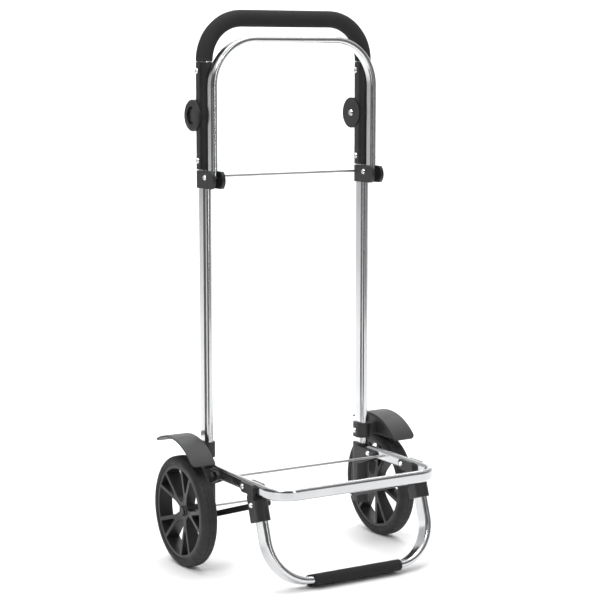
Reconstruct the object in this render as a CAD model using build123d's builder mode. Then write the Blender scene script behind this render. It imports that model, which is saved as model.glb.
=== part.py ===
"""Folding two-wheel hand truck, in millimetres.

The frame stands on the floor at Z = 0, its toe points to -Y and X runs across it. Heights are
above the floor; depths in the table below are counted from the plane of the two uprights,
negative towards the toe, and are moved by UPRIGHT_Y so that the origin lies below the middle of
the whole truck.
"""
import os
from math import atan2, cos, degrees, hypot, radians, sin

from build123d import *

os.makedirs("parts", exist_ok=True)

# ---------------------------------------------------------------- driving dimensions
HALF_TRACK = 165.0  # uprights, hoop legs, platform arms and toe legs all stand at this |X|
FRONT_REACH = 258.0  # uprights to the front face of the platform bar
REAR_REACH = 100.0  # uprights to the back of the wheels
UPRIGHT_Y = (FRONT_REACH - REAR_REACH) / 2

WHEEL_R = 100.0
AXLE_Z = WHEEL_R
WHEEL_INNER = 194.5  # |X| of the tyre's inner face
WHEEL_WIDTH = 30.0
RIM_R = 84.0
HUB_R = 17.0
HUB_OUTER = 213.5  # |X| of the recessed hub face
BUSH_R = 8.0
AXLE_R = 5.0
RUN = 0.05  # radial running clearance of every pin in its moving hole
SPOKE_PAIRS = 5
SPOKE_PHASE = 19.5  # first pair, degrees from straight up towards the toe
SPOKE_SPREAD = 12.6
SPOKE_THICK = 7.0
RIM_INSET = 1.5  # rim and spokes stop this short of the tyre's faces

UPRIGHT_DEPTH = 30.0
UPRIGHT_WIDTH = 16.0
TUBE_WALL = 1.6
UPRIGHT_BOTTOM = 112.0
UPRIGHT_TOP = 770.0

SLEEVE_DEPTH = 34.4
SLEEVE_WIDTH = 25.6
LOWER_SLEEVE_BOTTOM = 710.5
UPPER_SLEEVE_TOP = 897.5
HUB_Y = 18.0  # handle pivot, behind the uprights
HUB_Z = 804.5
DISC_R = 28.0
DISC_REACH = 14.3  # inner disc face, from the middle plane of the tubes
KNOB_REACH = 17.5  # outer disc face
LAP_GAP = 0.2  # each disc stands back this far from the shared middle plane
FOLD_GAP = 0.4
HUB_BOLT_R = 4.0

BUTTON_R = 15.3
BUTTON_WELL_R = 15.9
BUTTON_FLOOR = 3.2  # well floor, from the middle plane
BUTTON_FACE = 14.0
BUTTON_TRAVEL = 3.0

GRIP_D = 30.0
HANDLE_TOP = 989.0
HANDLE_TUBE_D = 22.0
HANDLE_BEND = 74.0
HANDLE_TUBE_BOTTOM = 842.0
RING_THICK = 1.4

HOOP_DEPTH = 23.0
HOOP_WIDTH = 12.0
HOOP_Y = -29.2
HOOP_TOP = 943.0
HOOP_BEND = 82.0
HOOP_PIVOT = (-22.5, 697.4)
COLLAR_TOP = 708.5
COLLAR_BOTTOM = 678.0
CHEEK_SLOT = 13.2
CHEEK_FRONT = -53.0

ROD_R = 2.2
UPPER_ROD = (12.0, 697.0)
UPPER_ROD_END = 156.5

CLAMP_TOP = 222.5
CLAMP_BOTTOM = 195.0
FENDER_CENTRE = (7.8, 120.2)
FENDER_R = 117.0
FENDER_SHEET = 3.0
FENDER_INNER = 189.8
WEB = 2.8
FENDER_OUTER = 235.0
FENDER_FRONT = 42.5  # degrees above straight ahead
FENDER_ARC = 78.0
WEB_BOTTOM = 199.0

BRACKET_TOP = 183.5
BRACKET_BOTTOM = 70.0
ARM_PIVOT = (-43.0, 171.0)
LEG_PIVOT = (-152.0, 173.0)
STRUT_REAR = (0.0, 86.0)
STRUT_FRONT = (-183.0, 146.0)
EAR_SLOT = 12.8

BAR_DEPTH = 12.0
BAR_HEIGHT = 21.5
BAR_Z = 173.0
ARM_END = -26.0
PLATFORM_BEND = 40.0
CROSS_ROD = (-74.0, 171.0)

LEG_DEPTH = 32.0
LEG_WIDTH = 12.0
LEG_TILT = 19.0  # the toe leg leans forward at its foot
LEG_BEND = 76.0
FOAM = 4.0
LEG_AT = (-198.5, 119.0)  # a point on the toe leg's centre line
LEG_TOP_Z = 152.0

STRUT_THICK = 8.0
STRUT_HEIGHT = 10.5
STRUT_X = 145.7  # |X| of the strut's middle plane

RIVET_R = 3.0
RIVET_HEAD_R = 5.0
RIVET_HEAD = 2.0

SIDES = (("left", -1), ("right", 1))
CHEEK_OUT = SLEEVE_WIDTH / 2


# ---------------------------------------------------------------- shared helpers
def side(y, z):
    """A point in the side view, its depth counted from the plane of the uprights."""
    return (UPRIGHT_Y + y, z)


def oval(plane, depth, width, wall=0.0):
    """A flat-oval tube section, long axis on the plane's local X."""
    with BuildSketch(plane) as section:
        SlotOverall(depth, width)
        if wall:
            SlotOverall(depth - 2 * wall, width - 2 * wall, mode=Mode.SUBTRACT)
    return section.sketch


def column(x, y, z_low, z_high, depth, width, wall=0.0, mode=Mode.ADD):
    """A standing flat-oval column whose long axis runs front to back."""
    plane = Plane(origin=(x, UPRIGHT_Y + y, z_low), x_dir=(0, 1, 0), z_dir=(0, 0, 1))
    extrude(oval(plane, depth, width, wall), amount=z_high - z_low, mode=mode)


def across(x_from, x_to, point, radius, mode=Mode.ADD):
    """A round bar, or a bore, along X at a side-view point."""
    with BuildSketch(Plane.YZ.offset(x_from)) as disc:
        with Locations(side(*point)):
            Circle(radius)
    extrude(disc.sketch, amount=abs(x_to - x_from), dir=(1 if x_to > x_from else -1, 0, 0), mode=mode)


def plate(x_from, x_to, points, mode=Mode.ADD):
    """A flat plate between two X positions with a straight-sided outline."""
    with BuildSketch(Plane.YZ.offset(x_from)) as outline:
        with BuildLine():
            Polyline([side(*p) for p in points], close=True)
        make_face()
    extrude(outline.sketch, amount=abs(x_to - x_from), dir=(1 if x_to > x_from else -1, 0, 0), mode=mode)


def rivet(x_from, x_to, point, shank=RIVET_R, head=RIVET_HEAD_R, both=True):
    """A rivet with low tapered heads; x_from is the headed end."""
    across(x_from, x_to, point, shank)
    outward = 1 if x_from > x_to else -1
    ends = [(x_from, outward), (x_to, -outward)] if both else [(x_from, outward)]
    for x, way in ends:
        with BuildSketch(Plane(origin=(x, 0, 0), x_dir=(0, way, 0), z_dir=(way, 0, 0))) as seat:
            with Locations((way * (UPRIGHT_Y + point[0]), point[1])):
                Circle(head)
        extrude(seat.sketch, amount=RIVET_HEAD, taper=35)


def save(part, name):
    part.label = name
    export_step(part, f"parts/{name}.step")


def fold_wedge(front, rear):
    """Outline of everything above a slanting split line between the hinge halves."""
    return [(-30.0, front), (30.0, rear), (30.0, 860.0), (-30.0, 860.0)]


# The split between the hinge halves slants one way outside the lap plane and the other inside.
OUTER_SPLIT = (818.0, 762.6)
INNER_SPLIT = (803.2, 834.3)
SLEEVE_RIVET_Y = 3.0
LOWER_RIVET = (SLEEVE_RIVET_Y, 726.0)
UPPER_RIVET = (SLEEVE_RIVET_Y + 2.0, 882.5)
CLAMP_RIVET = (3.5, 207.0)
TIE_ROD = (0.5, 101.6)
AXLE_ROOT = 156.0
AXLE_TIP = 214.7
STRUT_PIN_ROOT = 157.0
STUB_ROOT = 8.0  # the outer stub of the strut's front rivet stops short of the toe leg

# ---------------------------------------------------------------- uprights
for name, way in SIDES:
    x = way * HALF_TRACK
    with BuildPart() as upright:
        column(x, 0, UPRIGHT_BOTTOM, UPRIGHT_TOP, UPRIGHT_DEPTH, UPRIGHT_WIDTH, TUBE_WALL)
        for point in (LOWER_RIVET, CLAMP_RIVET):
            across(x - 20, x + 20, point, RIVET_R, Mode.SUBTRACT)
    save(upright.part, f"upright_{name}")

# ---------------------------------------------------------------- lower hinge halves
for name, way in SIDES:
    x = way * HALF_TRACK
    lap = x - way * LAP_GAP
    with BuildPart() as lower_hinge:
        column(x, 0, LOWER_SLEEVE_BOTTOM, 842.0, SLEEVE_DEPTH, SLEEVE_WIDTH)
        plate(lap, x + way * 20, fold_wedge(*OUTER_SPLIT), Mode.SUBTRACT)
        plate(lap, x - way * 20, fold_wedge(*INNER_SPLIT), Mode.SUBTRACT)
        across(lap, x + way * 20, (HUB_Y, HUB_Z), DISC_R + FOLD_GAP, Mode.SUBTRACT)
        across(lap, x - way * DISC_REACH, (HUB_Y, HUB_Z), DISC_R)
        column(x, 0, LOWER_SLEEVE_BOTTOM, UPRIGHT_TOP, UPRIGHT_DEPTH, UPRIGHT_WIDTH, mode=Mode.SUBTRACT)
        across(x - 20, x + 20, (HUB_Y, HUB_Z), HUB_BOLT_R, Mode.SUBTRACT)
        across(x - 20, x + 20, LOWER_RIVET, RIVET_R, Mode.SUBTRACT)
    save(lower_hinge.part, f"lower_hinge_{name}")

# ---------------------------------------------------------------- upper hinge halves with the dished knob
for name, way in SIDES:
    x = way * HALF_TRACK
    lap = x + way * LAP_GAP
    with BuildPart() as upper_hinge:
        column(x, 0, 740.0, UPPER_SLEEVE_TOP, SLEEVE_DEPTH, SLEEVE_WIDTH)
        foot = [(30.0, 730.0), (-30.0, 730.0)]
        low_outer = [(-30.0, OUTER_SPLIT[0] + 0.6), (30.0, OUTER_SPLIT[1] + 0.6), *foot]
        low_inner = [(-30.0, INNER_SPLIT[0] + 0.6), (30.0, INNER_SPLIT[1] + 0.6), *foot]
        plate(lap, x + way * 20, low_outer, Mode.SUBTRACT)
        plate(lap, x - way * 20, low_inner, Mode.SUBTRACT)
        across(lap, x - way * 20, (HUB_Y, HUB_Z), DISC_R + FOLD_GAP, Mode.SUBTRACT)
        corner = [(HUB_Y - 16, HUB_Z - 19), (30.0, HUB_Z - 19), (30.0, 730.0), (HUB_Y - 16, 730.0)]
        plate(lap, x + way * 20, corner, Mode.SUBTRACT)
        across(lap, x + way * KNOB_REACH, (HUB_Y, HUB_Z), DISC_R)
        rim_edge = upper_hinge.faces().sort_by(Axis.X)[-1 if way > 0 else 0].edges()
        chamfer(rim_edge, 2.2)
        across(x + way * BUTTON_FLOOR, x + way * 20, (HUB_Y, HUB_Z), BUTTON_WELL_R, Mode.SUBTRACT)
        across(x - 20, x + 20, (HUB_Y, HUB_Z), HUB_BOLT_R + RUN, Mode.SUBTRACT)
        with BuildSketch(Plane.XY.offset(HANDLE_TUBE_BOTTOM)):
            with Locations((x, UPRIGHT_Y)):
                Circle(HANDLE_TUBE_D / 2)
        extrude(amount=80, mode=Mode.SUBTRACT)
        across(x - 20, x + 20, UPPER_RIVET, RIVET_R, Mode.SUBTRACT)
    save(upper_hinge.part, f"upper_hinge_{name}")

# ---------------------------------------------------------------- hub bolts and release buttons
for name, way in SIDES:
    x = way * HALF_TRACK
    with BuildPart() as hub_bolt:
        rivet(x - way * DISC_REACH, x + way * (BUTTON_FLOOR + 0.1), (HUB_Y, HUB_Z), HUB_BOLT_R, 6.2)
    save(hub_bolt.part, f"hub_bolt_{name}")

    with BuildPart() as button:
        back_x = x + way * (BUTTON_FLOOR + BUTTON_TRAVEL + 0.3)
        across(back_x, x + way * BUTTON_FACE, (HUB_Y, HUB_Z), BUTTON_R)
        across(x + way * BUTTON_FLOOR, x + way * (BUTTON_FACE - 2.0), (HUB_Y, HUB_Z), 9.4, Mode.SUBTRACT)
        outer_face = button.faces().sort_by(Axis.X)[-1 if way > 0 else 0]
        fillet(outer_face.edges(), 1.2)
    save(button.part, f"release_button_{name}")

# ---------------------------------------------------------------- folding handle
RING_Z = UPPER_SLEEVE_TOP
GRIP_BOTTOM = RING_Z + RING_THICK
HANDLE_BAR_Z = HANDLE_TOP - GRIP_D / 2


def handle_path(bottom):
    """The handle's inverted U, in the plane of the uprights."""
    corners = [
        (-HALF_TRACK, UPRIGHT_Y, bottom),
        (-HALF_TRACK, UPRIGHT_Y, HANDLE_BAR_Z),
        (HALF_TRACK, UPRIGHT_Y, HANDLE_BAR_Z),
        (HALF_TRACK, UPRIGHT_Y, bottom),
    ]
    return FilletPolyline(corners, radius=HANDLE_BEND)


with BuildPart() as handle_tube:
    with BuildLine():
        handle_path(HANDLE_TUBE_BOTTOM)
    with BuildSketch(Plane.XY.offset(HANDLE_TUBE_BOTTOM)):
        with Locations((-HALF_TRACK, UPRIGHT_Y)):
            Circle(HANDLE_TUBE_D / 2)
            Circle(HANDLE_TUBE_D / 2 - TUBE_WALL, mode=Mode.SUBTRACT)
    sweep()
    for _, way in SIDES:
        across(way * HALF_TRACK - 20, way * HALF_TRACK + 20, UPPER_RIVET, RIVET_R, Mode.SUBTRACT)
save(handle_tube.part, "handle_tube")

with BuildPart() as handle_grip:
    with BuildLine():
        handle_path(GRIP_BOTTOM)
    with BuildSketch(Plane.XY.offset(GRIP_BOTTOM)):
        with Locations((-HALF_TRACK, UPRIGHT_Y)):
            Circle(GRIP_D / 2)
            Circle(HANDLE_TUBE_D / 2, mode=Mode.SUBTRACT)
    sweep()
save(handle_grip.part, "handle_grip")

with BuildPart() as handle_rings:
    for _, way in SIDES:
        with BuildSketch(Plane.XY.offset(RING_Z)):
            with Locations((way * HALF_TRACK, UPRIGHT_Y)):
                Circle(GRIP_D / 2 - 0.3)
                Circle(HANDLE_TUBE_D / 2, mode=Mode.SUBTRACT)
        extrude(amount=RING_THICK)
save(handle_rings.part, "handle_rings")

with BuildPart() as handle_rivets:
    for _, way in SIDES:
        rivet(way * HALF_TRACK - CHEEK_OUT, way * HALF_TRACK + CHEEK_OUT, UPPER_RIVET)
save(handle_rivets.part, "handle_rivets")

# ---------------------------------------------------------------- bag hoop and its collars
HOOP_BAR_Z = HOOP_TOP - HOOP_WIDTH / 2
HOOP_END = HOOP_PIVOT[1] - 4.8
with BuildPart() as bag_hoop:
    with BuildLine():
        hoop_corners = [
            (-HALF_TRACK, UPRIGHT_Y + HOOP_Y, HOOP_END),
            (-HALF_TRACK, UPRIGHT_Y + HOOP_Y, HOOP_BAR_Z),
            (HALF_TRACK, UPRIGHT_Y + HOOP_Y, HOOP_BAR_Z),
            (HALF_TRACK, UPRIGHT_Y + HOOP_Y, HOOP_END),
        ]
        FilletPolyline(hoop_corners, radius=HOOP_BEND)
    hoop_plane = Plane(origin=hoop_corners[0], x_dir=(0, 1, 0), z_dir=(0, 0, 1))
    sweep(sections=oval(hoop_plane, HOOP_DEPTH, HOOP_WIDTH, TUBE_WALL))
    hoop_front = HOOP_Y - HOOP_DEPTH / 2
    hoop_rear = HOOP_Y + HOOP_DEPTH / 2
    under_front = [(hoop_front - 1, HOOP_PIVOT[1] + 2.0), (-26.0, HOOP_END), (-26.0, 690.0)]
    under_front += [(-60.0, 690.0), (-60.0, 699.4)]
    under_rear = [(hoop_rear + 1, HOOP_PIVOT[1] - 1.0), (-20.5, HOOP_END), (-20.5, 690.0)]
    under_rear += [(-10.0, 690.0), (-10.0, 696.4)]
    for outline in (under_front, under_rear):
        plate(-HALF_TRACK - 20, HALF_TRACK + 20, outline, Mode.SUBTRACT)
    across(-HALF_TRACK - 20, HALF_TRACK + 20, HOOP_PIVOT, RIVET_R + RUN, Mode.SUBTRACT)
save(bag_hoop.part, "bag_hoop")

for name, way in SIDES:
    x = way * HALF_TRACK
    with BuildPart() as collar:
        column(x, 0, COLLAR_BOTTOM, COLLAR_TOP, SLEEVE_DEPTH, SLEEVE_WIDTH)
        with BuildSketch(Plane.YZ.offset(x)):
            with BuildLine():
                top = side(CHEEK_FRONT + 8.5, COLLAR_TOP)
                low = side(CHEEK_FRONT + 8.5, COLLAR_BOTTOM)
                ThreePointArc(top, side(CHEEK_FRONT, (COLLAR_TOP + COLLAR_BOTTOM) / 2), low)
                Polyline(low, side(0, COLLAR_BOTTOM), side(0, COLLAR_TOP), top)
            make_face()
        extrude(amount=CHEEK_OUT, both=True)
        slot_outline = [(-70.0, 700.0), (-70.0, 670.0), (-16.5, 670.0), (-16.5, 720.0), (-70.0, 720.0)]
        plate(x - CHEEK_SLOT / 2, x + CHEEK_SLOT / 2, slot_outline, Mode.SUBTRACT)
        column(x, 0, COLLAR_BOTTOM, COLLAR_TOP, UPRIGHT_DEPTH, UPRIGHT_WIDTH, mode=Mode.SUBTRACT)
        across(x - 20, x + 20, HOOP_PIVOT, RIVET_R, Mode.SUBTRACT)
        across(way * 140, way * UPPER_ROD_END, UPPER_ROD, ROD_R, Mode.SUBTRACT)
    save(collar.part, f"collar_{name}")

with BuildPart() as hoop_pins:
    for _, way in SIDES:
        rivet(way * HALF_TRACK - CHEEK_OUT, way * HALF_TRACK + CHEEK_OUT, HOOP_PIVOT)
save(hoop_pins.part, "hoop_pins")

with BuildPart() as upper_cross_rod:
    across(-UPPER_ROD_END, UPPER_ROD_END, UPPER_ROD, ROD_R)
save(upper_cross_rod.part, "upper_cross_rod")

# ---------------------------------------------------------------- mudguards with their clamps
for name, way in SIDES:
    x = way * HALF_TRACK
    with BuildPart() as fender:
        start = 180 - FENDER_FRONT - FENDER_ARC
        with BuildSketch(Plane.YZ.offset(way * FENDER_INNER)):
            with BuildLine():
                outer = CenterArc(side(*FENDER_CENTRE), FENDER_R, start, FENDER_ARC)
                inner = CenterArc(side(*FENDER_CENTRE), FENDER_R - FENDER_SHEET, start, FENDER_ARC)
                Line(outer @ 0, inner @ 0)
                Line(outer @ 1, inner @ 1)
            make_face()
        extrude(amount=FENDER_OUTER - FENDER_INNER, dir=(way, 0, 0))
        tips = fender.edges().filter_by(lambda e: e.length < FENDER_SHEET + 0.1)
        outer_tips = tips.filter_by(lambda e: abs(e.center().X) > HALF_TRACK + 50)
        fillet(outer_tips, 9.0)
        with BuildSketch(Plane.YZ.offset(way * FENDER_INNER)):
            with Locations(side(*FENDER_CENTRE)):
                Circle(FENDER_R - 1.0)
            with Locations(side(-32.0, WEB_BOTTOM + 30)):
                Rectangle(96, 60, mode=Mode.INTERSECT)
        extrude(amount=WEB, dir=(way, 0, 0))
        with BuildSketch(Plane.YZ.offset(way * (HALF_TRACK + 9.5))):
            with Locations(side(-9.5, 211.0)):
                Rectangle(13, 20)
        extrude(amount=FENDER_INNER - HALF_TRACK - 8.5, dir=(way, 0, 0))
        column(x, 0, CLAMP_BOTTOM, CLAMP_TOP, SLEEVE_DEPTH, SLEEVE_WIDTH)
        column(x, 0, CLAMP_BOTTOM, CLAMP_TOP, UPRIGHT_DEPTH, UPRIGHT_WIDTH, mode=Mode.SUBTRACT)
        across(x - 20, x + 20, CLAMP_RIVET, RIVET_R, Mode.SUBTRACT)
    save(fender.part, f"fender_{name}")

# ---------------------------------------------------------------- lower brackets
EAR_OUTLINE = [
    (0.0, 178.5),
    (-56.0, 178.5),
    (-61.0, 174.0),
    (-61.0, 167.0),
    (-58.0, 163.0),
    (-37.0, 154.6),
    (-12.0, 145.6),
    (0.0, 145.6),
]
for name, way in SIDES:
    x = way * HALF_TRACK
    with BuildPart() as bracket:
        column(x, 0, BRACKET_BOTTOM, BRACKET_TOP, SLEEVE_DEPTH, SLEEVE_WIDTH)
        plate(x - CHEEK_OUT, x + CHEEK_OUT, EAR_OUTLINE)
        arm_gap = [(-70.0, 140.0), (-18.2, 140.0), (-18.2, 190.0), (-70.0, 190.0)]
        plate(x - EAR_SLOT / 2, x + EAR_SLOT / 2, arm_gap, Mode.SUBTRACT)
        across(x, way * (WHEEL_INNER - 1.0), (0.0, AXLE_Z), 10.0)
        column(x, 0, UPRIGHT_BOTTOM, 190.0, UPRIGHT_DEPTH, UPRIGHT_WIDTH, mode=Mode.SUBTRACT)
        across(way * AXLE_ROOT, way * 200, (0.0, AXLE_Z), AXLE_R, Mode.SUBTRACT)
        across(x - 20, x + 20, ARM_PIVOT, RIVET_R, Mode.SUBTRACT)
        across(way * 150, way * STRUT_PIN_ROOT, STRUT_REAR, RIVET_R, Mode.SUBTRACT)
    save(bracket.part, f"lower_bracket_{name}")

with BuildPart() as frame_rivets:
    for _, way in SIDES:
        for point in (LOWER_RIVET, CLAMP_RIVET):
            rivet(way * HALF_TRACK - CHEEK_OUT, way * HALF_TRACK + CHEEK_OUT, point)
save(frame_rivets.part, "frame_rivets")

with BuildPart() as arm_pins:
    for _, way in SIDES:
        rivet(way * HALF_TRACK - CHEEK_OUT, way * HALF_TRACK + CHEEK_OUT, ARM_PIVOT)
save(arm_pins.part, "arm_pins")

with BuildPart() as strut_rear_pins:
    for _, way in SIDES:
        rivet(way * (STRUT_X - STRUT_THICK / 2 - 0.4), way * STRUT_PIN_ROOT, STRUT_REAR, both=False)
save(strut_rear_pins.part, "strut_rear_pins")

with BuildPart() as tie_rod:
    across(-HALF_TRACK + CHEEK_OUT, HALF_TRACK - CHEEK_OUT, TIE_ROD, ROD_R)
save(tie_rod.part, "tie_rod")

# ---------------------------------------------------------------- wheels on their stub axles
def rib(radius_from, angle_from, radius_to, angle_to, width):
    """A straight rib in the wheel's side view; angles lean from straight up towards the toe."""
    ends = [(radius_from, radians(angle_from)), (radius_to, radians(angle_to))]
    (y0, z0), (y1, z1) = [(-r * sin(a), r * cos(a)) for r, a in ends]
    with Locations((UPRIGHT_Y + (y0 + y1) / 2, AXLE_Z + (z0 + z1) / 2)):
        Rectangle(hypot(y1 - y0, z1 - z0), width, rotation=degrees(atan2(z1 - z0, y1 - y0)))


for name, way in SIDES:
    tread = way * WHEEL_INNER
    with BuildPart() as axle:
        across(way * AXLE_ROOT, way * AXLE_TIP, (0.0, AXLE_Z), AXLE_R)
        across(way * AXLE_TIP, way * (AXLE_TIP + 3.0), (0.0, AXLE_Z), 9.0)
        cap = axle.faces().sort_by(Axis.X)[-1 if way > 0 else 0]
        fillet(cap.edges(), 1.4)
    save(axle.part, f"axle_{name}")

    with BuildPart() as tyre:
        across(tread, tread + way * WHEEL_WIDTH, (0.0, AXLE_Z), WHEEL_R)
        fillet(tyre.edges().filter_by(GeomType.CIRCLE), 6.0)
        across(tread, tread + way * WHEEL_WIDTH, (0.0, AXLE_Z), RIM_R, Mode.SUBTRACT)
    save(tyre.part, f"tyre_{name}")

    with BuildPart() as rim:
        across(tread + way * RIM_INSET, tread + way * (WHEEL_WIDTH - RIM_INSET), (0.0, AXLE_Z), RIM_R)
        across(tread, tread + way * WHEEL_WIDTH, (0.0, AXLE_Z), RIM_R - 6.0, Mode.SUBTRACT)
        with BuildSketch(Plane.YZ.offset(tread + way * RIM_INSET)):
            with Locations(side(0.0, AXLE_Z)):
                Circle(HUB_R)
            for k in range(SPOKE_PAIRS):
                lean = SPOKE_PHASE + 360 / SPOKE_PAIRS * k
                rib(10.0, lean, 38.0, lean, 12.0)
                rib(22.0, lean - 1.0, RIM_R - 3.0, lean - SPOKE_SPREAD, SPOKE_THICK)
                rib(22.0, lean + 1.0, RIM_R - 3.0, lean + SPOKE_SPREAD, SPOKE_THICK)
        extrude(amount=WHEEL_WIDTH - 2 * RIM_INSET, dir=(way, 0, 0))
        with BuildSketch(Plane.XY.offset(AXLE_Z)):
            face_x = way * (WHEEL_INNER + WHEEL_WIDTH - RIM_INSET)
            dish = [(face_x, UPRIGHT_Y + RIM_R - 6.0), (way * HUB_OUTER, UPRIGHT_Y + HUB_R)]
            Polygon(*dish, (way * HUB_OUTER, UPRIGHT_Y), (face_x, UPRIGHT_Y), align=None)
        revolve(axis=Axis((0, UPRIGHT_Y, AXLE_Z), (1, 0, 0)), mode=Mode.SUBTRACT)
        across(tread, way * (HUB_OUTER + 20), (0.0, AXLE_Z), BUSH_R, Mode.SUBTRACT)
    save(rim.part, f"rim_{name}")

    with BuildPart() as bush:
        across(tread + way * 1.0, way * (HUB_OUTER + 0.6), (0.0, AXLE_Z), BUSH_R)
        across(tread, way * 230, (0.0, AXLE_Z), AXLE_R + RUN, Mode.SUBTRACT)
    save(bush.part, f"wheel_bush_{name}")

# ---------------------------------------------------------------- folding platform
BAR_Y = BAR_DEPTH / 2 - FRONT_REACH
ARM_ROUND = ARM_END - BAR_HEIGHT / 2
with BuildPart() as platform:
    with BuildLine():
        platform_corners = [
            (-HALF_TRACK, UPRIGHT_Y + ARM_END, BAR_Z),
            (-HALF_TRACK, UPRIGHT_Y + BAR_Y, BAR_Z),
            (HALF_TRACK, UPRIGHT_Y + BAR_Y, BAR_Z),
            (HALF_TRACK, UPRIGHT_Y + ARM_END, BAR_Z),
        ]
        FilletPolyline(platform_corners, radius=PLATFORM_BEND)
    arm_plane = Plane(origin=platform_corners[0], x_dir=(0, 0, 1), z_dir=(0, -1, 0))
    sweep(sections=oval(arm_plane, BAR_HEIGHT, BAR_DEPTH, TUBE_WALL))
    with BuildSketch(Plane.YZ):
        with Locations(side(ARM_ROUND + 10.0, BAR_Z)):
            Rectangle(20, BAR_HEIGHT + 2)
        with Locations(side(ARM_ROUND, BAR_Z)):
            Circle(BAR_HEIGHT / 2, mode=Mode.SUBTRACT)
    extrude(amount=HALF_TRACK + 20, both=True, mode=Mode.SUBTRACT)
    for pivot in (ARM_PIVOT, LEG_PIVOT):
        across(-HALF_TRACK - 20, HALF_TRACK + 20, pivot, RIVET_R + RUN, Mode.SUBTRACT)
save(platform.part, "platform")

with BuildPart() as lower_cross_rod:
    across(-HALF_TRACK + BAR_DEPTH / 2, HALF_TRACK - BAR_DEPTH / 2, CROSS_ROD, ROD_R)
save(lower_cross_rod.part, "lower_cross_rod")

# ---------------------------------------------------------------- toe leg
TILT = radians(LEG_TILT)
ACROSS_LEG = (0, -cos(TILT), sin(TILT))
FOOT_THICK = LEG_WIDTH + 2 * FOAM
FOOT_DEPTH = LEG_DEPTH + 2 * FOAM
FOOT_Z = FOOT_THICK / 2 + (FOOT_DEPTH - FOOT_THICK) / 2 * sin(TILT)
FOOT_DROP = (LEG_AT[1] - FOOT_Z) / cos(TILT)
LEG_RISE = (LEG_TOP_Z - LEG_AT[1]) / cos(TILT)


def on_leg(across_x, along):
    """A world point in the toe leg's own plane; along is counted upwards from LEG_AT."""
    return (across_x, UPRIGHT_Y + LEG_AT[0] + along * sin(TILT), LEG_AT[1] + along * cos(TILT))


with BuildPart() as toe_leg:
    with BuildLine():
        leg_corners = [
            on_leg(-HALF_TRACK, LEG_RISE),
            on_leg(-HALF_TRACK, -FOOT_DROP),
            on_leg(HALF_TRACK, -FOOT_DROP),
            on_leg(HALF_TRACK, LEG_RISE),
        ]
        FilletPolyline(leg_corners, radius=LEG_BEND)
    leg_section = Plane(origin=leg_corners[0], x_dir=ACROSS_LEG, z_dir=(0, -sin(TILT), -cos(TILT)))
    sweep(sections=oval(leg_section, LEG_DEPTH, LEG_WIDTH, TUBE_WALL))
save(toe_leg.part, "toe_leg")

FOOT_HALF = HALF_TRACK - LEG_BEND
with BuildPart() as toe_grip:
    foot_plane = Plane(origin=on_leg(-FOOT_HALF, -FOOT_DROP), x_dir=ACROSS_LEG, z_dir=(1, 0, 0))
    extrude(oval(foot_plane, FOOT_DEPTH, FOOT_THICK, FOAM), amount=2 * FOOT_HALF)
save(toe_grip.part, "toe_grip")

CHEEK_OUTLINE = [
    (-144.5, 168.0),
    (-143.5, 175.0),
    (-147.0, 181.0),
    (-185.0, 181.0),
    (-189.0, 177.0),
    (-189.0, 160.0),
    (-198.5, 119.0),
    (-182.0, 113.5),
    (-168.0, 156.0),
    (-170.0, 163.0),
    (-150.0, 163.0),
]
for name, way in SIDES:
    x = way * HALF_TRACK
    with BuildPart() as toe_bracket:
        plate(x - CHEEK_OUT, x + CHEEK_OUT, CHEEK_OUTLINE)
        socket_plane = Plane(origin=on_leg(x, 0.0), x_dir=ACROSS_LEG, z_dir=(0, sin(TILT), cos(TILT)))
        extrude(oval(socket_plane, LEG_DEPTH + 5.0, SLEEVE_WIDTH), amount=LEG_RISE + 2.0)
        arm_passage = [(-130.0, 161.0), (-230.0, 161.0), (-230.0, 190.0), (-130.0, 190.0)]
        plate(x - EAR_SLOT / 2, x + EAR_SLOT / 2, arm_passage, Mode.SUBTRACT)
        swing = [(-130.0, 165.0), (-168.0, 165.0), (-168.0, 130.0), (-130.0, 130.0)]
        plate(x - EAR_SLOT / 2, x + EAR_SLOT / 2, swing, Mode.SUBTRACT)
        extrude(oval(socket_plane, LEG_DEPTH, LEG_WIDTH), amount=LEG_RISE, mode=Mode.SUBTRACT)
        across(x - 20, x + 20, LEG_PIVOT, RIVET_R, Mode.SUBTRACT)
        across(x + way * STUB_ROOT, x + way * 20, STRUT_FRONT, RIVET_R, Mode.SUBTRACT)
    save(toe_bracket.part, f"toe_bracket_{name}")

with BuildPart() as toe_pins:
    for _, way in SIDES:
        rivet(way * HALF_TRACK - CHEEK_OUT, way * HALF_TRACK + CHEEK_OUT, LEG_PIVOT)
        rivet(way * (HALF_TRACK + CHEEK_OUT), way * (HALF_TRACK + STUB_ROOT), STRUT_FRONT, both=False)
save(toe_pins.part, "toe_pins")

# ---------------------------------------------------------------- struts
STRUT_SPAN = (STRUT_FRONT[0] - STRUT_REAR[0], STRUT_FRONT[1] - STRUT_REAR[1])
for name, way in SIDES:
    inner_face = way * (STRUT_X - STRUT_THICK / 2)
    with BuildPart() as strut:
        with BuildSketch(Plane.YZ.offset(inner_face)):
            with Locations(side((STRUT_FRONT[0] + STRUT_REAR[0]) / 2, (STRUT_FRONT[1] + STRUT_REAR[1]) / 2)):
                slope = degrees(atan2(*STRUT_SPAN[::-1]))
                SlotCenterToCenter(hypot(*STRUT_SPAN), STRUT_HEIGHT, rotation=slope)
        extrude(amount=STRUT_THICK, dir=(way, 0, 0))
        across(way * 130, way * 160, STRUT_REAR, RIVET_R + RUN, Mode.SUBTRACT)
        across(way * 130, way * 160, STRUT_FRONT, RIVET_R, Mode.SUBTRACT)
    save(strut.part, f"strut_{name}")

    with BuildPart() as strut_pin:
        rivet(inner_face, way * (HALF_TRACK - CHEEK_OUT - 0.4), STRUT_FRONT, both=False)
    save(strut_pin.part, f"strut_pin_{name}")
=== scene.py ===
from math import cos, pi, radians, sin

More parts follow.
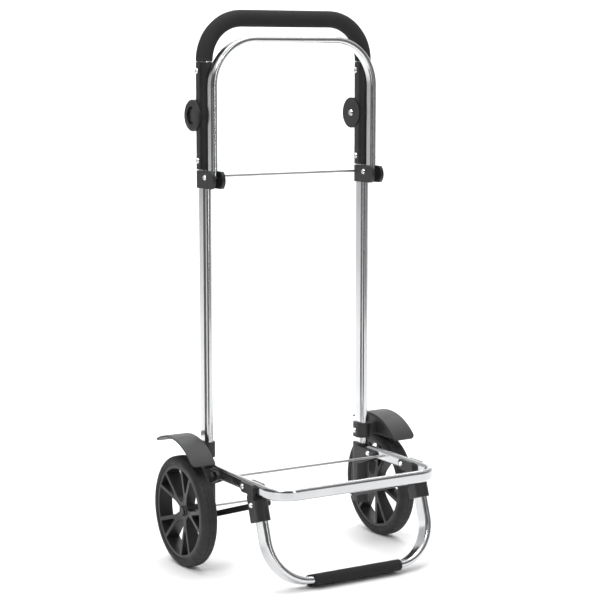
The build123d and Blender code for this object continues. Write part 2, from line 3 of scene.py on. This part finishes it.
import bmesh
import bpy
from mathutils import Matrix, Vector, noise


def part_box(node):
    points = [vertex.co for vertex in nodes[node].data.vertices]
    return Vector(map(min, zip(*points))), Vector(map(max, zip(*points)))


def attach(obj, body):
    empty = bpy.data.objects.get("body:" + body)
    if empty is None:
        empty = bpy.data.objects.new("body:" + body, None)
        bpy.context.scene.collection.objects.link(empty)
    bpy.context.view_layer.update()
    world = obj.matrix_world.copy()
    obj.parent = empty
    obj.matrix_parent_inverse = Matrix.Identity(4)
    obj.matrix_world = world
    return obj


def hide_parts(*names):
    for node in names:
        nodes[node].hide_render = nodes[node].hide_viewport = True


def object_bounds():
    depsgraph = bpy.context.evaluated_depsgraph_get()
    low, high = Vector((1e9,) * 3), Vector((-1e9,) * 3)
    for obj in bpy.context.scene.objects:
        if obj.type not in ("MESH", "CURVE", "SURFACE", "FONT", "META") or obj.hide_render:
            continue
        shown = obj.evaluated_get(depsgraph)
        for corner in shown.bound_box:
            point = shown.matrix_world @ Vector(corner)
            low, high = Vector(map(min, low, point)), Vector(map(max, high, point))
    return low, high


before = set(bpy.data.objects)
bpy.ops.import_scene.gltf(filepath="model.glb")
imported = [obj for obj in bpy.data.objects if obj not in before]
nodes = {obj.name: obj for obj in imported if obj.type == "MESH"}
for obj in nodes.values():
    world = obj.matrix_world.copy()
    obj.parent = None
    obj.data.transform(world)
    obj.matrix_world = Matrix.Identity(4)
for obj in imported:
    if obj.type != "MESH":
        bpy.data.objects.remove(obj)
cad_lo, cad_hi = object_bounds()
SIDES = (("left", -1), ("right", 1))


# ---------------------------------------------------------------- materials
class Graph:
    """A small builder for one material's node tree."""

    def __init__(self, name):
        self.mat = bpy.data.materials.new(name)
        self.mat.use_nodes = True
        self.tree = self.mat.node_tree
        self.shader = self.tree.nodes["Principled BSDF"]
        self.coords = self.tree.nodes.new("ShaderNodeTexCoord").outputs["Object"]

    def node(self, kind, **sockets):
        made = self.tree.nodes.new(kind)
        for key, value in sockets.items():
            if hasattr(made, key):
                setattr(made, key, value)
            else:
                self.put(made.inputs[key.replace("_", " ")], value)
        return made

    def put(self, socket, value):
        if isinstance(value, bpy.types.NodeSocket):
            self.tree.links.new(value, socket)
        else:
            socket.default_value = value

    def noise(self, scale, detail=2.0, rough=0.5, stretch=None):
        vector = self.coords
        if stretch:
            vector = self.node("ShaderNodeMapping", Vector=self.coords, Scale=stretch).outputs[0]
        made = self.node("ShaderNodeTexNoise", Vector=vector, Scale=scale, Detail=detail)
        made.inputs["Roughness"].default_value = rough
        return made.outputs["Fac"]

    def span(self, value, low, high, to_low, to_high):
        made = self.node("ShaderNodeMapRange")
        for i, v in enumerate((value, low, high, to_low, to_high)):
            self.put(made.inputs[i], v)
        return made.outputs[0]

    def mix(self, fac, a, b):
        made = self.node("ShaderNodeMix", data_type="RGBA")
        self.put(made.inputs[0], fac)
        self.put(made.inputs[6], a)
        self.put(made.inputs[7], b)
        return made.outputs[2]

    def math(self, op, a, b):
        made = self.node("ShaderNodeMath", operation=op)
        self.put(made.inputs[0], a)
        self.put(made.inputs[1], b)
        return made.outputs[0]

    def bump(self, height, distance, strength=1.0, normal=None):
        made = self.node("ShaderNodeBump", Height=height, Distance=distance, Strength=strength)
        if normal:
            self.put(made.inputs["Normal"], normal)
        return made.outputs[0]

    def edges(self, low=0.52, high=0.62):
        """1 along convex edges, broken up by noise: the mask for a painted edge highlight."""
        point = self.tree.nodes.new("ShaderNodeNewGeometry").outputs["Pointiness"]
        return self.math("MULTIPLY", self.span(point, low, high, 0.0, 1.0), self.noise(90.0, 4.0))

    def set(self, **sockets):
        for key, value in sockets.items():
            self.put(self.shader.inputs[key.replace("_", " ")], value)
        return self.mat


def grey(v, tint=0.0):
    return (v, v * (1 + tint * 0.4), v * (1 + tint), 1.0)


def metal(name, tone, rough, stretch, tint=0.02):
    """Drawn, anodised metal: fine lines along the tube, faint clouding and handling marks."""
    g = Graph(name)
    lines = g.noise(1.0, 3.0, 0.6, stretch)
    cloud = g.noise(14.0, 4.0)
    marks = g.span(g.noise(60.0, 6.0, 0.7), 0.60, 0.72, 0.0, 1.0)
    base = g.mix(g.span(cloud, 0.3, 0.7, 0.0, 1.0), grey(tone * 0.94, tint), grey(tone * 1.04, tint))
    base = g.mix(g.math("MULTIPLY", marks, 0.12), base, grey(tone * 0.55, tint))
    drawn = g.span(lines, 0.3, 0.7, rough - 0.05, rough + 0.06)
    roughness = g.math("ADD", drawn, g.math("MULTIPLY", marks, 0.08))
    return g.set(Base_Color=base, Metallic=1.0, Roughness=roughness, Normal=g.bump(lines, 0.00002, 0.35))


def plastic(name, tone, rough, grain=1400.0, edge_highlight=0.10, depth=0.00004):
    """Moulded plastic: spark-eroded grain, slow colour drift, lighter convex edges as a painted
    highlight.
    """
    g = Graph(name)
    fine = g.noise(grain, 2.0, 0.6)
    slow = g.noise(22.0, 5.0)
    base = g.mix(g.span(slow, 0.3, 0.7, 0.0, 1.0), grey(tone * 0.86, 0.04), grey(tone * 1.16, 0.04))
    # Convex edges are mixed toward a lighter grey: a painted edge highlight.
    base = g.mix(g.math("MULTIPLY", g.edges(), edge_highlight * 4), base, grey(tone * 3.2, 0.03))
    moulded = g.span(fine, 0.3, 0.7, rough - 0.06, rough + 0.08)
    roughness = g.math("ADD", moulded, g.span(slow, 0.3, 0.7, -0.04, 0.04))
    return g.set(Base_Color=base, Roughness=roughness, Normal=g.bump(fine, depth, 0.6))


def foam(name, tone):
    """Closed-cell foam: a skin of small open cells, their pits darkened as painted shade."""
    g = Graph(name)
    cells = g.node("ShaderNodeTexVoronoi", Vector=g.coords, Scale=900.0).outputs["Distance"]
    pits = g.span(cells, 0.0, 0.55, 0.0, 1.0)
    slow = g.noise(35.0, 4.0)
    # The recessed pits are coloured darker: painted shade in the cell hollows.
    base = g.mix(pits, grey(tone * 0.55), grey(tone * 1.15))
    base = g.mix(g.span(slow, 0.35, 0.7, 0.0, 0.5), base, grey(tone * 1.35))
    height = g.math("ADD", g.math("MULTIPLY", pits, 0.6), g.math("MULTIPLY", g.noise(260.0, 3.0), 0.8))
    return g.set(Base_Color=base, Roughness=0.93, Normal=g.bump(height, 0.00025, 0.7))


def rubber(name, tone):
    """Tyre rubber with a dusty bloom and fine moulding texture."""
    g = Graph(name)
    fine = g.noise(900.0, 3.0, 0.6)
    dust = g.span(g.noise(45.0, 6.0, 0.65), 0.45, 0.75, 0.0, 0.55)
    base = g.mix(dust, grey(tone, 0.02), (tone * 1.7, tone * 1.62, tone * 1.52, 1.0))
    roughness = g.span(dust, 0.0, 0.55, 0.62, 0.85)
    return g.set(Base_Color=base, Roughness=roughness, Normal=g.bump(fine, 0.00006, 0.5))


SILVER_Z = metal("silver_tube_upright", 0.66, 0.16, (900.0, 900.0, 5.0))
SILVER_Y = metal("silver_tube_platform", 0.58, 0.16, (900.0, 12.0, 900.0))
SILVER_X = metal("silver_tube_leg", 0.64, 0.16, (60.0, 900.0, 60.0))
BRIGHT = metal("bright_steel", 0.74, 0.18, (500.0, 500.0, 500.0))
AXLE = metal("axle_steel", 0.035, 0.38, (6.0, 900.0, 900.0))
ROD = metal("rod_steel", 0.42, 0.30, (6.0, 900.0, 900.0))
BLACK = plastic("black_plastic", 0.0100, 0.42)
FENDER = plastic("fender_plastic", 0.0190, 0.46, 1100.0)
RIM = plastic("rim_plastic", 0.0115, 0.44)
BUTTON = plastic("button_plastic", 0.0115, 0.26, 2200.0, depth=0.00002)
BUSH = plastic("bush_plastic", 0.30, 0.40)
STRUT = plastic("strut_paint", 0.008, 0.34, 500.0, depth=0.00008)
FOAM = foam("foam", 0.0135)
TOE_FOAM = foam("toe_foam", 0.0085)
TYRE = rubber("tyre_rubber", 0.0100)


def paint(obj, mat):
    obj.data.materials.clear()
    obj.data.materials.append(mat)


LOOKS = {
    "upright": SILVER_Z, "bag_hoop": SILVER_Z, "platform": SILVER_Y, "toe_leg": SILVER_X,
    "handle_tube": SILVER_Z, "handle_rings": BRIGHT, "handle_rivets": BRIGHT, "hoop_pins": BRIGHT,
    "frame_rivets": BRIGHT, "arm_pins": BRIGHT, "strut_rear_pins": BRIGHT, "toe_pins": BRIGHT,
    "strut_pin": BRIGHT, "hub_bolt": BRIGHT, "upper_cross_rod": ROD, "lower_cross_rod": ROD,
    "tie_rod": ROD, "axle": AXLE, "upper_hinge": BLACK, "lower_hinge": BLACK, "collar": BLACK,
    "lower_bracket": BLACK, "toe_bracket": BLACK, "fender": FENDER, "release_button": BUTTON,
    "strut": STRUT, "rim": RIM, "wheel_bush": BUSH,
}
ROUNDED = {"upper_hinge": 0.0012, "lower_hinge": 0.0012, "collar": 0.0014, "lower_bracket": 0.0014,
           "toe_bracket": 0.0012, "fender": 0.0006, "rim": 0.0009, "strut": 0.0012, "axle": 0.0006}
for name, obj in nodes.items():
    stem = name.removesuffix("_left").removesuffix("_right")
    if stem in LOOKS:
        paint(obj, LOOKS[stem])
    if stem in ROUNDED:
        weld = obj.modifiers.new("weld", "WELD")
        weld.merge_threshold = 0.00001
        bevel = obj.modifiers.new("soft_edges", "BEVEL")
        bevel.width = ROUNDED[stem]
        bevel.segments = 3
        bevel.limit_method = "ANGLE"
        bevel.angle_limit = radians(38)
        bevel.use_clamp_overlap = True
        normals = obj.modifiers.new("normals", "WEIGHTED_NORMAL")
        normals.keep_sharp = False


# ---------------------------------------------------------------- mesh building
def mesh_object(name, verts, faces, smooth=True):
    mesh = bpy.data.meshes.new(name)
    mesh.from_pydata([tuple(v) for v in verts], [], faces)
    mesh.validate()
    work = bmesh.new()
    work.from_mesh(mesh)
    bmesh.ops.recalc_face_normals(work, faces=work.faces)
    work.to_mesh(mesh)
    work.free()
    if smooth:
        mesh.shade_smooth()
    made = bpy.data.objects.new(name, mesh)
    bpy.context.scene.collection.objects.link(made)
    return made


def loft(rings, closed_path=False, caps=False):
    """Verts and quads that join equal closed rings in order."""
    count = len(rings[0])
    verts = [p for ring in rings for p in ring]
    faces = []
    for r in range(len(rings) if closed_path else len(rings) - 1):
        a, b = r * count, (r + 1) % len(rings) * count
        faces += [(a + i, a + (i + 1) % count, b + (i + 1) % count, b + i) for i in range(count)]
    if caps:
        faces += [tuple(range(count))[::-1], tuple(range((len(rings) - 1) * count, len(rings) * count))]
    return verts, faces


def oval_ring(centre, wide, narrow, half_wide, half_narrow, steps=14):
    """A stadium-shaped ring; wide and narrow are unit vectors."""
    flat = half_wide - half_narrow
    ring = []
    for end in (1, -1):
        for i in range(steps + 1):
            a = -pi / 2 + pi * i / steps
            across = wide * (end * (flat + half_narrow * cos(a)))
            ring.append(centre + across + narrow * (end * half_narrow * sin(a)))
    return ring


def u_path(x, z_low, z_top, bend, y, step=0.004):
    """Points and directions along an inverted U in the plane Y = y."""
    points = []
    rise = int((z_top - bend - z_low) / step) + 1
    for i in range(rise):
        points.append((Vector((-x, y, z_low + (z_top - bend - z_low) * i / rise)), Vector((0, 0, 1))))
    turn = int(bend * pi / 2 / step)
    for i in range(turn + 1):
        a = pi / 2 * i / turn
        centre = Vector((-x + bend, y, z_top - bend))
        points.append((centre + Vector((-cos(a), 0, sin(a))) * bend, Vector((sin(a), 0, cos(a)))))
    run = int((x - bend) / step)
    for i in range(1, run):
        points.append((Vector((-x + bend + (x - bend) * i / run, y, z_top)), Vector((1, 0, 0))))
    half = list(points)
    points.append((Vector((0, y, z_top)), Vector((1, 0, 0))))
    points += [(Vector((-p.x, p.y, p.z)), Vector((d.x, d.y, -d.z))) for p, d in reversed(half)]
    return points


def foam_tube(name, path, ring_at, bore_at):
    """A foam sleeve along a path, with softly rounded ends that turn in to the bore."""
    ends = [(0.0, 0.0022), (0.0003, 0.0010), (0.0010, 0.0003), (0.0022, 0.0)]
    rings = []
    last = len(path) - 1
    for i, (p, d) in enumerate(path):
        if i in (0, last):
            way = 1 if i == 0 else -1
            group = [bore_at(p, d)]
            group += [ring_at(p + d * (way * along), d, shrink) for along, shrink in ends]
            rings += group if i == 0 else group[::-1]
        else:
            swell = 0.00018 * noise.noise(p * 60)
            rings.append(ring_at(p, d, -swell))
    verts, faces = loft(rings)
    return mesh_object(name, verts, faces)


# ---------------------------------------------------------------- foam grips
lo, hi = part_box("handle_grip")
GRIP_R = (hi.y - lo.y) / 2
GRIP_BEND = 0.074
MID_Y = (hi.y + lo.y) / 2
TUBE_R = (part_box("handle_tube")[1].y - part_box("handle_tube")[0].y) / 2


def round_ring(p, d, radius, steps=48):
    side = Vector((0, 1, 0))
    up = d.cross(side)
    turns = [2 * pi * i / steps for i in range(steps)]
    return [p + (side * cos(a) + up * sin(a)) * radius for a in turns]


grip = foam_tube(
    "handle_foam",
    u_path(hi.x - GRIP_R, lo.z, hi.z - GRIP_R, GRIP_BEND, MID_Y),
    lambda p, d, shrink: round_ring(p, d, GRIP_R - shrink),
    lambda p, d: round_ring(p, d, TUBE_R),
)
paint(grip, FOAM)
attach(grip, "handle")
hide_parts("handle_grip")

lo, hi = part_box("toe_grip")
LEAN = radians(19.0)
WIDE = Vector((0, -cos(LEAN), sin(LEAN)))
THIN = Vector((0, sin(LEAN), cos(LEAN)))
FOAM_WALL = 0.004
centre = (lo + hi) / 2
half_thin = 0.010
half_wide = (hi.y - lo.y - 2 * half_thin) / 2 / cos(LEAN) + half_thin
bar = []
for i in range(61):
    bar.append((Vector((lo.x + (hi.x - lo.x) * i / 60, centre.y, centre.z)), Vector((1, 0, 0))))
toe_foam = foam_tube(
    "toe_foam",
    bar,
    lambda p, d, shrink: oval_ring(p, WIDE, THIN, half_wide - shrink, half_thin - shrink),
    lambda p, d: oval_ring(p, WIDE, THIN, half_wide - FOAM_WALL, half_thin - FOAM_WALL),
)
paint(toe_foam, TOE_FOAM)
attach(toe_foam, "toe_stand")
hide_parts("toe_grip")


# ---------------------------------------------------------------- tyres
TYRE_R = 0.1
TYRE_BORE_R = 0.084
TREAD_STEPS = 288
STEPS_PER_GROOVE = 6


def tyre(name):
    """A solid tyre: rounded shoulders, two rib lines and cross grooves cut in the tread."""
    lo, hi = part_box(f"tyre_{name}")
    radius, inner = TYRE_R, TYRE_BORE_R
    mid = Vector(((lo.x + hi.x) / 2, (lo.y + hi.y) / 2, (lo.z + hi.z) / 2))
    half = (hi.x - lo.x) / 2
    profile = [(-half + 0.0015, inner, 0), (-half, inner + 0.0015, 0), (-half, radius - 0.0095, 0)]
    profile += [(-half + 0.0007, radius - 0.0062, 0), (-half + 0.0024, radius - 0.0033, 0)]
    profile += [(-half + 0.0048, radius - 0.0012, 1), (-half + 0.0068, radius - 0.0004, 1)]
    for u in (-0.0052, -0.0040, -0.0036, -0.0024, -0.0020):
        deep = 0.0011 if u in (-0.0036, -0.0024) else 0.0
        profile.append((u, radius - deep, 0 if deep else 1))
    profile += [(-u, r, g) for u, r, g in profile[::-1]]
    rings = []
    for k in range(TREAD_STEPS):
        a = 2 * pi * k / TREAD_STEPS
        groove = 0.0009 if k % STEPS_PER_GROOVE == 0 else 0.0
        ring = []
        for u, r, cut in profile:
            slant = a + (0.016 if u > 0 else -0.016) * (abs(u) / half)
            depth = groove if cut else 0.0
            ring.append(mid + Vector((u, (r - depth) * cos(slant), (r - depth) * sin(slant))))
        rings.append(ring)
    verts, faces = loft(rings, closed_path=True)
    made = mesh_object(f"tyre_tread_{name}", verts, faces)
    paint(made, TYRE)
    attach(made, f"wheel_{name}")
    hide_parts(f"tyre_{name}")


for name, _ in SIDES:
    tyre(name)


# ---------------------------------------------------------------- mudguard lips
def bead(name, points, radius, closed, steps=10):
    """A round moulded lip along a line of points."""
    count = len(points)
    rings = []
    side = None
    for i, p in enumerate(points):
        ahead = points[(i + 1) % count] if closed or i < count - 1 else p
        behind = points[i - 1] if closed or i else p
        d = (ahead - behind).normalized()
        side = (side if side else d.orthogonal()).copy()
        side = (side - d * side.dot(d)).normalized()
        up = d.cross(side)
        turns = [2 * pi * k / steps for k in range(steps)]
        rings.append([p + (side * cos(a) + up * sin(a)) * radius for a in turns])
    verts, faces = loft(rings, closed_path=closed, caps=not closed)
    return mesh_object(name, verts, faces)


GUARD = Vector((0, 0.079 + 0.0078, 0.1202))
GUARD_R = 0.1155
ARC = (radians(59.5), radians(137.5))


def guard_point(x, angle, radius=GUARD_R):
    return GUARD + Vector((x, radius * cos(angle), radius * sin(angle)))


for name, way in SIDES:
    lo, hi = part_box(f"fender_{name}")
    outer = way * (max(abs(lo.x), abs(hi.x)) - 0.0006)
    inner = way * 0.1904
    corner = 0.009
    line = []
    for i in range(41):
        line.append(guard_point(inner, ARC[0] + (ARC[1] - ARC[0]) * i / 40))
    for end, order in ((1, 1), (0, -1)):
        points = []
        for i in range(9):
            a = pi / 2 * i / 8
            inward = (-1 if end else 1) * corner * (1 - cos(a)) / GUARD_R
            points.append(guard_point(outer - way * corner * (1 - sin(a)), ARC[end] + inward))
        if order > 0:
            line += points
            start, stop = ARC[1] - corner / GUARD_R, ARC[0] + corner / GUARD_R
            line += [guard_point(outer, start + (stop - start) * i / 40) for i in range(1, 40)]
        else:
            line += points[::-1]
    lip = bead(f"fender_lip_{name}", line, 0.0016, True)
    paint(lip, FENDER)
    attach(lip, "chassis")

    rim_line = []
    for i in range(37):
        angle = radians(62 + (136 - 62) * i / 36)
        p = guard_point(way * 0.1896, angle, 0.1125)
        if p.y < 0.079 + 0.0145 and p.z > 0.2005:
            rim_line.append(p)
    bottom = 0.2008
    rim_line.append(Vector((way * 0.1896, rim_line[-1].y + 0.002, bottom)))
    rim_line.append(Vector((way * 0.1896, 0.079 + 0.0145, bottom)))
    edge = bead(f"fender_edge_{name}", rim_line, 0.0015, True)
    paint(edge, FENDER)
    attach(edge, "chassis")

# ---------------------------------------------------------------- studio
FLOOR_HALF_WIDTH = 15.0
cove = []
for i in range(25):
    a = pi / 2 * i / 24
    cove.append((4.2 + 2.0 * sin(a), 2.0 - 2.0 * cos(a)))
outline = [(-16.0, 0.0), (-2.0, 0.0), (2.0, 0.0)] + cove + [(6.2, 6.0)]
VIEW_AZIMUTH = radians(31.005)
look = Vector((sin(VIEW_AZIMUTH), cos(VIEW_AZIMUTH), 0))
cross = Vector((look.y, -look.x, 0))
verts = []
for d, z in outline:
    for s in (-FLOOR_HALF_WIDTH, FLOOR_HALF_WIDTH):
        verts.append(look * d + cross * s + Vector((0, 0, z)))
faces = [(2 * i, 2 * i + 1, 2 * i + 3, 2 * i + 2) for i in range(len(outline) - 1)]
floor = mesh_object("floor", verts, faces)
g = Graph("pale_floor")
g.set(
    Base_Color=g.mix(g.span(g.noise(3.0, 3.0), 0.3, 0.7, 0.0, 1.0), grey(0.90), grey(0.93)),
    Roughness=0.75,
    Normal=g.bump(g.noise(220.0, 3.0), 0.0002, 0.15),
)
paint(floor, g.mat)


def softbox(name, place, target, size, power):
    data = bpy.data.lights.new(name, "AREA")
    data.shape = "RECTANGLE"
    data.size, data.size_y = size
    data.energy = power
    made = bpy.data.objects.new(name, data)
    made.location = place
    made.rotation_mode = "QUATERNION"
    made.rotation_quaternion = (Vector(target) - Vector(place)).to_track_quat("-Z", "Y")
    bpy.context.scene.collection.objects.link(made)


softbox("key", (-2.6, -1.8, 3.4), (0, 0, 0.4), (1.2, 1.2), 60)
softbox("strip", (0.25, -3.4, 1.5), (0, 0, 0.5), (0.35, 2.6), 14)
softbox("top", (0.2, 0.4, 4.2), (0, 0.1, 0), (3.4, 3.4), 120)
softbox("back", (1.6, 2.6, 3.6), (2.6, 4.2, 0.9), (3.5, 1.5), 130)

# Dark cards stand round the truck, seen only in reflections, so the tubes carry dark lines.
def card(name, start, end, low, high, tone, radius=1.15):
    corners = []
    for i in range(13):
        a = radians(start + (end - start) * i / 12)
        corners += [Vector((radius * cos(a), radius * sin(a), z)) for z in (low, high)]
    sheets = [(2 * i, 2 * i + 2, 2 * i + 3, 2 * i + 1) for i in range(12)]
    made = mesh_object(name, corners, sheets)
    g = Graph(name)
    g.set(Base_Color=g.mix(g.noise(9.0, 3.0), grey(tone * 0.9), grey(tone * 1.1)), Roughness=0.9)
    paint(made, g.mat)
    made.visible_camera = made.visible_diffuse = made.visible_shadow = False


card("card_rear_left", 131, 196, 0.001, 1.25, 0.10)
card("card_front_left", 219, 264, 0.001, 1.25, 0.07)
card("card_front_right", 272, 326, 0.24, 1.10, 0.14)

# The surround is banded by compass direction in reflections and light, and plain pale to the camera.
world = bpy.data.worlds.new("studio")
bpy.context.scene.world = world
world.use_nodes = True
tree = world.node_tree
back = tree.nodes["Background"]
geo = tree.nodes.new("ShaderNodeTexCoord")
split = tree.nodes.new("ShaderNodeSeparateXYZ")
tree.links.new(geo.outputs["Generated"], split.inputs[0])
turn = tree.nodes.new("ShaderNodeMath")
turn.operation = "ARCTAN2"
tree.links.new(split.outputs["Y"], turn.inputs[0])
tree.links.new(split.outputs["X"], turn.inputs[1])
around = tree.nodes.new("ShaderNodeMapRange")
tree.links.new(turn.outputs[0], around.inputs[0])
around.inputs[1].default_value = -pi
around.inputs[2].default_value = pi
bands = tree.nodes.new("ShaderNodeValToRGB")
tree.links.new(around.outputs[0], bands.inputs[0])
STOPS = [(-180, 0.42), (-158, 0.10), (-128, 0.05), (-112, 0.75), (-96, 0.85), (-80, 0.10), (-45, 0.16),
         (-10, 0.30), (25, 0.90), (90, 1.0), (135, 1.0), (165, 0.60), (180, 0.42)]
while len(bands.color_ramp.elements) < len(STOPS):
    bands.color_ramp.elements.new(0.5)
for element, (degrees_round, tone) in zip(bands.color_ramp.elements, STOPS):
    element.position = degrees_round / 360 + 0.5
    element.color = (tone, tone, tone * 1.01, 1)
height = tree.nodes.new("ShaderNodeMapRange")
height.interpolation_type = "SMOOTHSTEP"
tree.links.new(split.outputs["Z"], height.inputs[0])
height.inputs[1].default_value = 0.30
height.inputs[2].default_value = 0.62
sky = tree.nodes.new("ShaderNodeMix")
sky.data_type = "RGBA"
tree.links.new(height.outputs[0], sky.inputs[0])
tree.links.new(bands.outputs[0], sky.inputs[6])
sky.inputs[7].default_value = (0.80, 0.80, 0.81, 1)
seen = tree.nodes.new("ShaderNodeLightPath")
pale = tree.nodes.new("ShaderNodeMix")
pale.data_type = "RGBA"
tree.links.new(seen.outputs["Is Camera Ray"], pale.inputs[0])
tree.links.new(sky.outputs[2], pale.inputs[6])
pale.inputs[7].default_value = (0.86, 0.86, 0.86, 1)
tree.links.new(pale.outputs[2], back.inputs["Color"])
back.inputs["Strength"].default_value = 0.95

# ---------------------------------------------------------------- camera at the photograph's angle
mid = (cad_lo + cad_hi) / 2
cam_data = bpy.data.cameras.new("camera")
cam_data.sensor_width = 36
cam_data.lens = 105.7
cam_data.clip_end = 100
camera = bpy.data.objects.new("camera", cam_data)
camera.location = (mid.x - 1.620, mid.y - 2.6668, 0.9036)
down = radians(7.804)
aim = Vector((look.x * cos(down), look.y * cos(down), -sin(down)))
camera.rotation_mode = "QUATERNION"
camera.rotation_quaternion = aim.to_track_quat("-Z", "Y")
bpy.context.scene.collection.objects.link(camera)
bpy.context.scene.camera = camera
bpy.context.scene.view_settings.view_transform = "Standard"
